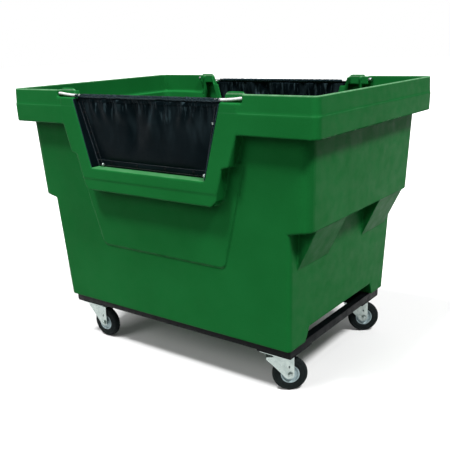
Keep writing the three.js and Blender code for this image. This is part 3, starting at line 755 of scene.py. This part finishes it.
COARSE_COLUMNS, COARSE_ROWS = 97, 41  # the grid that hangs under its own weight
HELD_BORDER = 5  # rows and columns of it that the doubled border keeps flat
SETTLE_FRAMES = 36  # how long it hangs
SMOOTHING_PASSES = 26
CLOTH_THICKNESS = 0.8 * MM
BORDER = 26 * MM  # width of the border strips
COLUMNS, ROWS = 337, 89  # the grid that shows


def grid_faces(columns, rows):
    return [
        (a, a + 1, a + 1 + columns, a + columns)
        for row in range(rows - 1)
        for a in range(row * columns, row * columns + columns - 1)
    ]


def panel_line(v):
    """The panel leans forward from the lip at the sill to its hem behind the frame's face."""
    return PANEL_Y + (HEM_Y + 3 * MM - PANEL_Y) * v


def cloth_start():
    """The panel before it hangs: nearly flat, a little slack between its riveted edges and its hem."""
    points = []
    for row in range(COARSE_ROWS):
        v = row / (COARSE_ROWS - 1)
        z = CLOTH_LOW_Z + (CLOTH_TOP_Z - CLOTH_LOW_Z) * v
        for column in range(COARSE_COLUMNS):
            u = -1 + 2 * column / (COARSE_COLUMNS - 1)
            x = u * (half_width(z) - 1.5 * MM)
            from_jamb = half_width(z) - abs(x) - BORDER
            from_sill = z - CLOTH_LOW_Z - BORDER
            edge = min(1.0, max(0.0, min(from_jamb, from_sill) / (70 * MM)))
            edge *= math.sin(math.pi * min(1.0, v * 1.1))
            slack = 8 * MM * noise.noise(Vector((x * 6 + z * 4, z * 4, 3.1))) * max(0.0, edge)
            points.append(Vector((x, panel_line(v) + slack, z)))
    return points


def drape(points):
    """Lets the panel hang: its side and bottom edges and its top row are held, and the rest sags."""
    mesh = mesh_of("drape", points, grid_faces(COARSE_COLUMNS, COARSE_ROWS))
    cloth = bpy.data.objects.new("drape", mesh)
    scene.collection.objects.link(cloth)
    held = cloth.vertex_groups.new(name="held")
    for index in range(len(points)):
        row, column = divmod(index, COARSE_COLUMNS)
        from_edge = min(column, COARSE_COLUMNS - 1 - column, row)
        if from_edge < HELD_BORDER or row == COARSE_ROWS - 1:
            held.add([index], 1.0, "REPLACE")
    modifier = cloth.modifiers.new("cloth", "CLOTH")
    settings = modifier.settings
    settings.quality = 7
    settings.mass = 0.35
    settings.tension_stiffness = 20
    settings.compression_stiffness = 10
    settings.shear_stiffness = 6
    settings.bending_stiffness = 1.6
    settings.air_damping = 2
    settings.vertex_group_mass = "held"
    settings.pin_stiffness = 1
    settings.shrink_min = -0.008
    modifier.collision_settings.use_collision = False
    modifier.collision_settings.use_self_collision = False
    modifier.point_cache.frame_start = 1
    modifier.point_cache.frame_end = SETTLE_FRAMES
    for step in range(1, SETTLE_FRAMES + 1):
        scene.frame_set(step)
    depsgraph = bpy.context.evaluated_depsgraph_get()
    result = [v.co.copy() for v in cloth.evaluated_get(depsgraph).data.vertices]
    bpy.data.objects.remove(cloth)
    scene.frame_set(1)
    return stiffened(result)


def stiffened(points):
    """The coating holds no fine crease: a running mean takes those out, except in the border."""
    grid = np.array(points).reshape(COARSE_ROWS, COARSE_COLUMNS, 3)
    depth = grid[:, :, 1]
    inner = (slice(HELD_BORDER, -1), slice(HELD_BORDER, -HELD_BORDER))
    for _ in range(SMOOTHING_PASSES):
        mean = depth.copy()
        mean[1:-1, 1:-1] = (
            depth[1:-1, :-2] + depth[1:-1, 2:] + depth[:-2, 1:-1] + depth[2:, 1:-1]
            + 2 * depth[1:-1, 1:-1]
        ) / 6
        depth[inner] = mean[inner]
    return [Vector(p) for p in grid.reshape(-1, 3)]


def blended(points, column, row):
    """A point of the coarse grid between its knots, by smooth cubic weights."""
    def weights(t):
        return ((-t + 2 * t ** 2 - t ** 3) / 2, (2 - 5 * t ** 2 + 3 * t ** 3) / 2,
                (t + 4 * t ** 2 - 3 * t ** 3) / 2, (-t ** 2 + t ** 3) / 2)

    c = min(COARSE_COLUMNS - 2, int(column))
    r = min(COARSE_ROWS - 2, int(row))
    total = Vector((0, 0, 0))
    for i, row_weight in enumerate(weights(row - r)):
        for k, column_weight in enumerate(weights(column - c)):
            rr = min(COARSE_ROWS - 1, max(0, r - 1 + i))
            cc = min(COARSE_COLUMNS - 1, max(0, c - 1 + k))
            total += points[rr * COARSE_COLUMNS + cc] * (row_weight * column_weight)
    return total


FOLDS = [  # x at the hem, x at its foot, half width, depth inward, v of its foot
    (0.075, 0.000, 0.021, -15.0 * MM, 0.34),
    (-0.046, -0.060, 0.017, 11.0 * MM, 0.10),
    (0.120, 0.092, 0.012, -8.5 * MM, 0.62),
    (0.184, 0.150, 0.013, -9.0 * MM, 0.58),
    (0.238, 0.186, 0.013, -7.0 * MM, 0.55),
    (-0.124, -0.112, 0.015, -8.5 * MM, 0.64),
    (-0.198, -0.176, 0.013, -8.0 * MM, 0.60),
    (-0.262, -0.214, 0.012, -6.0 * MM, 0.56),
    (0.020, 0.034, 0.011, 6.0 * MM, 0.72),
    (-0.158, -0.150, 0.010, 5.0 * MM, 0.76),
]


def folded(x, v):
    """How far the soft folds that hang from the hem move the cloth in or out."""
    total = 0.0
    for top_x, foot_x, width, depth, foot in FOLDS:
        t = (v - foot) / (1 - foot)
        if t > 0:
            middle = foot_x + (top_x - foot_x) * t
            spread = width * (1.9 - 0.9 * t)
            total += depth * min(1.0, t * 1.8) ** 1.5 * math.exp(-((x - middle) / spread) ** 2)
    return total


def gathered(points):
    """The draped panel on the fine grid, with soft folds, and small puckers below the hem."""
    fine = []
    for i in range(ROWS):
        v = i / (ROWS - 1)
        for k in range(COLUMNS):
            u = -1 + 2 * k / (COLUMNS - 1)
            point = blended(points, k / (COLUMNS - 1) * (COARSE_COLUMNS - 1), v * (COARSE_ROWS - 1))
            reach = 0.12 + 0.2 * max(0.0, noise.noise(Vector((point.x * 19, 2.2, 4.1))) + 0.25)
            fade = max(0.0, 1 - (1 - v) / reach) ** 1.2
            edge = min(1.0, (1 - abs(u)) * 14)
            leaning = point.x + (1 - v) * 0.08 * noise.noise(Vector((point.x * 6, 9.1, 0.3)))
            border = min(1.0, max(0.0, ((1 - abs(u)) * half_width(point.z) - BORDER) / (20 * MM)))
            point.y += gather(leaning) * 5.5 * MM * fade * edge + folded(point.x, v) * border
            fine.append(point)
    return fine


FRONT_LIMIT = FACE_Y + 1.5 * MM  # the cloth stays inside the frame's outer face
BACK_LIMIT = PANEL_Y + 26 * MM
LIP_WIDTH = 24 * MM


def kept_clear(points):
    """Holds the draped cloth between the frame's face and the load space, in front of the lip."""
    kept = []
    for p in points:
        from_edge = min(half_width(p.z) - abs(p.x), p.z - SILL_Z)
        beyond_lip = min(1, max(0, (from_edge - LIP_WIDTH) / (30 * MM)))
        deepest = PANEL_Y + 0.4 * MM + (BACK_LIMIT - PANEL_Y) * beyond_lip
        kept.append(Vector((p.x, min(deepest, max(FRONT_LIMIT, p.y)), p.z)))
    return kept


class Cloth:
    """The draped panel as a surface that other pieces are laid on.

    u goes from jamb to jamb, -1 to 1, and v from the sill to the hem, 0 to 1.
    """

    def __init__(self, points):
        self.points = points

    def at(self, u, v):
        column = (u + 1) / 2 * (COLUMNS - 1)
        row = v * (ROWS - 1)
        c = min(COLUMNS - 2, max(0, int(column)))
        r = min(ROWS - 2, max(0, int(row)))
        s, t = column - c, row - r
        p = self.points
        low = p[r * COLUMNS + c].lerp(p[r * COLUMNS + c + 1], s)
        high = p[(r + 1) * COLUMNS + c].lerp(p[(r + 1) * COLUMNS + c + 1], s)
        return low.lerp(high, t)

    def outward(self, u, v):
        step = 0.01
        across = self.at(min(1, u + step), v) - self.at(max(-1, u - step), v)
        up = self.at(u, min(1, v + step)) - self.at(u, max(0, v - step))
        return across.cross(up).normalized()

    def above(self, u, v, distance):
        return self.at(u, v) + self.outward(u, v) * distance


# ---------- drop sides: pieces ----------

def hem_share(x, z):
    """How far a point follows the hem down: fully at its middle, not at all at the jambs or sill."""
    across = min(1.0, abs(x) / half_width(min(max(z, SILL_Z), CLOTH_TOP_Z)))
    up = min(1.0, max(0.0, (z - SILL_Z) / (CLOTH_TOP_Z - SILL_Z)))
    return (1 - across ** 2) * up


def follow_hem(piece, side):
    """The piece bends between truck and hem, so that its middle goes down and its ends stay."""
    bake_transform(piece, "truck", f"{side}_hem", start=(0, 0, SILL_Z), end=(0, 0, HEM_Z))
    shares = [hem_share(v.co.x, v.co.z) for v in piece.data.vertices]
    piece.data.attributes["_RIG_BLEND"].data.foreach_set("value", np.array(shares, np.float32))


def add_on_both_sides(name, mesh, material, smooth_angle=None):
    """The front piece and its copy turned round to the rear, as {side: piece}."""
    pieces = {}
    for side in SIDES:
        data = mesh if side == "front" else turned_to_rear(mesh)
        pieces[side] = add_piece(f"{side}_{name}", data, material, smooth_angle)
    return pieces


def add_cloth(cloth):
    thickness = 0.9 * MM
    mesh = mesh_of("vinyl", cloth.points, grid_faces(COLUMNS, ROWS))
    set_uvs(mesh, [(p.x, p.z) for p in cloth.points])
    pieces = add_on_both_sides("vinyl", mesh, VINYL)
    for side, piece in pieces.items():
        with_modifiers(piece, [("SOLIDIFY", {"thickness": thickness, "offset": 0.0})])
        follow_hem(piece, side)
        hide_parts(f"{side}_panel")


def strip_faces(steps, across):
    """The faces of a strip whose rows hold across + 1 points each."""
    return [
        (a, a + across + 1, a + across + 2, a + 1)
        for i in range(steps)
        for a in range(i * (across + 1), i * (across + 1) + across)
    ]


def strip_on_cloth(cloth, along, width, rows=3, lift=1.3 * MM, steps=110):
    """A flat strip laid on the cloth; along(t) gives (u, v) of its middle and the step across it."""
    vertices = []
    uvs = []
    for i in range(steps + 1):
        t = i / steps
        (u, v), (du, dv) = along(t)
        for k in range(rows + 1):
            off = k / rows - 0.5
            uu = min(1, max(-1, u + du * off))
            vv = min(1, max(0, v + dv * off))
            sink = 0.9 * MM if k in (0, rows) else 0
            vertices.append(cloth.above(uu, vv, lift - sink))
            uvs.append((t * 0.6, off * width))
    return vertices, strip_faces(steps, rows), uvs


def add_side_flaps():
    """The cloth that lines each jamb, from the panel out to the frame's face, and its piping."""
    steps, across = 60, 6
    front_y = FACE_Y + 2.6 * MM
    for name, sign in (("left", -1), ("right", 1)):
        vertices, uvs, edge = [], [], []
        for i in range(steps + 1):
            v = i / steps
            z = CLOTH_LOW_Z + (CLOTH_TOP_Z - CLOTH_LOW_Z) * v
            back_y = panel_line(v)
            for k in range(across + 1):
                t = k / across
                bulge = 1.4 + 1.2 * noise.noise(Vector((z * 22, t * 2, sign * 5.0)))
                away = 1.2 + bulge * math.sin(math.pi * t)
                y = back_y + (front_y - back_y) * t
                vertices.append((sign * (half_width(z) - away * MM), y, z))
                uvs.append((y, z))
            edge.append(Vector((sign * (half_width(z) - 1.3 * MM), front_y, z)))
        mesh = mesh_of(f"{name}_flap", vertices, strip_faces(steps, across))
        set_uvs(mesh, uvs)
        for side, piece in add_on_both_sides(f"{name}_flap", mesh, WEBBING).items():
            with_modifiers(piece, [("SOLIDIFY", {"thickness": CLOTH_THICKNESS, "offset": 0.0})])
            follow_hem(piece, side)
        vertices, faces, uvs = tube(edge, 1.1 * MM, 10)
        mesh = face_outwards(mesh_of(f"{name}_piping", vertices, faces))
        set_uvs(mesh, uvs)
        for side, piece in add_on_both_sides(f"{name}_piping", mesh, PIPING).items():
            follow_hem(piece, side)


def border_lines():
    """Where the border strips run: up each jamb and along the sill, as functions of t."""
    height = CLOTH_TOP_Z - SILL_Z

    def jamb(side):
        def along(t):
            v = 0.015 + t * 0.95
            share = BORDER / half_width(SILL_Z + v * height)
            return (side * (1 - 0.58 * share), v), (side * share, 0)
        return along

    def sill(t):
        return (-0.985 + 1.97 * t, 0.62 * BORDER / height), (0, BORDER / height)

    return {"left_border": jamb(-1), "right_border": jamb(1), "sill_border": sill}


def add_borders(cloth):
    """The doubled border strips of the panel, sewn on with two rows of stitches each."""
    for name, along in border_lines().items():
        vertices, faces, uvs = strip_on_cloth(cloth, along, BORDER)
        mesh = mesh_of(name, vertices, faces)
        set_uvs(mesh, uvs)
        for side, piece in add_on_both_sides(name, mesh, WEBBING).items():
            with_modifiers(piece, [("SOLIDIFY", {"thickness": CLOTH_THICKNESS, "offset": 0.0})])
            follow_hem(piece, side)
        add_stitches(cloth, name, along)


def capsule(start, end, radius):
    """A short thread between two points, thinner at its ends."""
    forward = end - start
    middle = [start, start + forward * 0.2, start + forward * 0.8, end]
    sizes = [0.45, 1, 1, 0.45]
    axis = forward.normalized()
    across = axis.orthogonal().normalized()
    upward = axis.cross(across)
    vertices = []
    for point, size in zip(middle, sizes):
        for k in range(6):
            angle = math.pi * k / 3
            away = across * math.cos(angle) + upward * math.sin(angle)
            vertices.append(point + away * radius * size)
    faces = [(i * 6 + k, i * 6 + (k + 1) % 6, (i + 1) * 6 + (k + 1) % 6, (i + 1) * 6 + k)
             for i in range(3) for k in range(6)]
    faces += [tuple(reversed(range(6))), tuple(range(18, 24))]
    return vertices, faces


def joined(parts):
    """The vertices and faces of several parts as one."""
    vertices, faces = [], []
    for part_vertices, part_faces in parts:
        shift = len(vertices)
        vertices += part_vertices
        faces += [tuple(i + shift for i in face) for face in part_faces]
    return vertices, faces


def add_stitches(cloth, name, along):
    """Two rows of stitches along a border strip."""
    parts = []
    length = 0.54 if "sill" in name else 0.26
    count = int(length / (5.5 * MM))
    for row in (-0.36, 0.36):
        for k in range(count):
            ends = []
            for t in ((k + 0.15) / count, (k + 0.75) / count):
                (u, v), (du, dv) = along(t)
                ends.append(cloth.above(u + du * row, v + dv * row, 2.0 * MM))
            parts.append(capsule(ends[0], ends[1], 0.5 * MM))
    vertices, faces = joined(parts)
    mesh = mesh_of("stitches", vertices, faces)
    for side, piece in add_on_both_sides(f"{name}_stitches", mesh, THREAD).items():
        follow_hem(piece, side)


def turned(profile, segments, centre, axis):
    """A small turned part; its profile is in millimetres."""
    return lathe([(r * MM, h * MM) for r, h in profile], segments, centre, axis)


def add_rivets(cloth):
    """Black dome rivets on washers, which hold the panel's borders to the tub's lip."""
    parts = []
    places = []
    height = CLOTH_TOP_Z - SILL_Z
    for v in (0.2, 0.5, 0.8):
        share = BORDER / half_width(SILL_Z + v * height)
        places += [(side * (1 - 0.58 * share), v) for side in (-1, 1)]
    places += [(u, 0.62 * BORDER / height) for u in (-0.72, -0.25, 0.25, 0.72)]
    profile = [
        (0.01, 0), (5.2, 0), (5.5, 0.4), (5.2, 0.8), (3.4, 0.9), (3.2, 1.6), (2.2, 2.4), (0.01, 2.7),
    ]
    for u, v in places:
        base = cloth.above(u, v, 1.5 * MM)
        parts.append(turned(profile, 20, base, cloth.outward(u, v)))
    vertices, faces = joined(parts)
    mesh = face_outwards(mesh_of("rivets", vertices, faces))
    for side, piece in add_on_both_sides("rivets", mesh, PAINT, 40).items():
        follow_hem(piece, side)


POCKET_Y = -0.4365  # the cord's line in the pockets of the rim
SLEEVE_HALF = 0.337  # the sleeve ends at the jambs
CORD_END_Z = 1.039  # the cord's height behind the rim


def hem_line(x):
    """The middle of the hem: straight along the cord, which moves out to its pockets near the jambs."""
    out = min(1.0, max(0.0, (abs(x) - 0.308) / 0.027))
    out = out * out * (3 - 2 * out)
    return Vector((x, HEM_Y + (POCKET_Y - HEM_Y) * out, HEM_Z + 0.2 * MM * out))


def add_hem_sleeve():
    """The top hem, gathered on its cord: a puckered tube with a sewn flange below it."""
    steps = 520
    sides = 28
    path = [hem_line(-SLEEVE_HALF + 2 * SLEEVE_HALF * i / steps) for i in range(steps + 1)]

    def radius_at(point, angle):
        pucker = gather(point.x)
        small = 0.5 * math.sin(point.x * 2 * math.pi / 0.0061 + 3 * math.sin(point.x * 33))
        lower = max(0.0, -math.sin(angle))
        narrow = 1.6 * MM * min(1.0, max(0.0, (abs(point.x) - HEM_HALF) / (SLEEVE_HALF - HEM_HALF)))
        body = HEM_RADIUS - 1.4 * MM - narrow
        return body + (1.5 * pucker + 0.8 * small) * MM * (0.75 + 0.25 * lower) + 2.0 * MM * lower ** 3

    vertices, faces, uvs = tube(path, HEM_RADIUS, sides, radius_at)
    mesh = face_outwards(mesh_of("hem_sleeve", vertices, faces))
    set_uvs(mesh, uvs)
    for side, piece in add_on_both_sides("hem_sleeve", mesh, HEM_VINYL).items():
        follow_hem(piece, side)
        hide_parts(f"{side}_hem")


FLANGE_HALF = 0.330


def add_hem_flange(cloth):
    """The sewn edge under the hem: the gathered cloth drawn together along a line of stitches."""
    steps = 480
    rows = 8
    vertices, uvs = [], []
    for i in range(steps + 1):
        x = -FLANGE_HALF + 2 * FLANGE_HALF * i / steps
        u = x / half_width(CLOTH_TOP_Z)
        top = hem_line(x) + Vector((0, 2 * MM + 1.2 * MM * gather(x), 1.5 * MM - HEM_RADIUS))
        foot = cloth.above(u, 0.955, 1.2 * MM)
        for k in range(rows + 1):
            t = k / rows
            point = top.lerp(foot, t)
            point.y -= 1.6 * MM * math.sin(math.pi * t) + 1.4 * MM * gather(x + 0.004) * t
            vertices.append(point)
            uvs.append((x, -0.02 * t))
    mesh = mesh_of("hem_flange", vertices, strip_faces(steps, rows))
    set_uvs(mesh, uvs)
    for side, piece in add_on_both_sides("hem_flange", mesh, WEBBING).items():
        with_modifiers(piece, [("SOLIDIFY", {"thickness": CLOTH_THICKNESS, "offset": 0.0})])
        follow_hem(piece, side)


CORD_ROUTE = [  # half of the cord, from its middle to its right end
    (0.145, HEM_Y, HEM_Z),
    (0.270, HEM_Y, HEM_Z),
    (0.308, HEM_Y, HEM_Z),
    (0.335, POCKET_Y + 0.5 * MM, HEM_Z + 0.2 * MM),
    (0.348, POCKET_Y, HEM_Z + 0.5 * MM),
    (0.385, POCKET_Y, (HEM_Z + CORD_END_Z) / 2),
    (0.412, POCKET_Y, CORD_END_Z),
    (cord_high.x, POCKET_Y, CORD_END_Z),
]


CORD_RADIUS = 5 * MM


def add_cord():
    """The elastic cord in its white sleeve; its ends go behind the rim."""
    right = [Vector(p) for p in CORD_ROUTE]
    left = [Vector((-p.x, p.y, p.z)) for p in reversed(right)]
    path = smooth_path(left + right, 14)

    def radius_at(point, angle):
        return CORD_RADIUS + 0.12 * MM * math.sin(point.x * 2 * math.pi / 0.005 + 2 * angle)

    vertices, faces, uvs = tube(path, CORD_RADIUS, 20, radius_at)
    mesh = face_outwards(mesh_of("cord", vertices, faces))
    set_uvs(mesh, uvs)
    for side, piece in add_on_both_sides("cord_sleeve", mesh, BRAID).items():
        follow_hem(piece, side)
        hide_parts(f"{side}_cord")


def add_jamb_screw():
    """A pan-head screw with a recess, on one jamb of each opening."""
    profile = [
        (0.01, 0), (3.2, 0), (3.2, 0.8), (2.8, 1.6), (2.0, 2.1), (1.2, 2.2), (1.1, 1.2), (0.01, 1.1),
    ]
    centre = (0.312, FACE_Y + 0.8 * MM, 0.960)
    mesh = face_outwards(mesh_of("jamb_screw", *turned(profile, 24, centre, (0, -1, 0))))
    for piece in add_on_both_sides("jamb_screw", mesh, ZINC, 40).values():
        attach(piece, "truck")


def add_sill_fasteners():
    """The zinc bolt heads on washers at the ends of each sill."""
    profile = [(0.01, 0), (7, 0), (7.3, 0.6), (7, 1.2), (4.6, 1.3), (4.3, 3.9), (3.5, 4.7), (0.01, 4.9)]
    parts = []
    for x in (-0.241, 0.241):
        centre = (x, PANEL_Y - 3.5 * MM, SILL_Z + 9.5 * MM)
        parts.append(turned(profile, 24, centre, (0, -1, 0)))
    mesh = face_outwards(mesh_of("sill_fasteners", *joined(parts)))
    for piece in add_on_both_sides("sill_fasteners", mesh, ZINC, 40).values():
        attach(piece, "truck")


def add_drop_sides():
    """The panels, their trim and their cords, made for the front and turned round for the rear."""
    points = cloth_start()
    points = drape(points)
    cloth = Cloth(kept_clear(gathered(points)))
    add_cloth(cloth)
    add_side_flaps()
    add_borders(cloth)
    add_rivets(cloth)
    add_hem_sleeve()
    add_hem_flange(cloth)
    add_cord()
    add_jamb_screw()
    add_sill_fasteners()


# ---------- the whole scene ----------

add_camera()
add_stage()
add_tub()
add_metal()
for wheel_body, wheel_joint in wheel_joints().items():
    add_wheel(wheel_body, wheel_joint)
add_drop_sides()
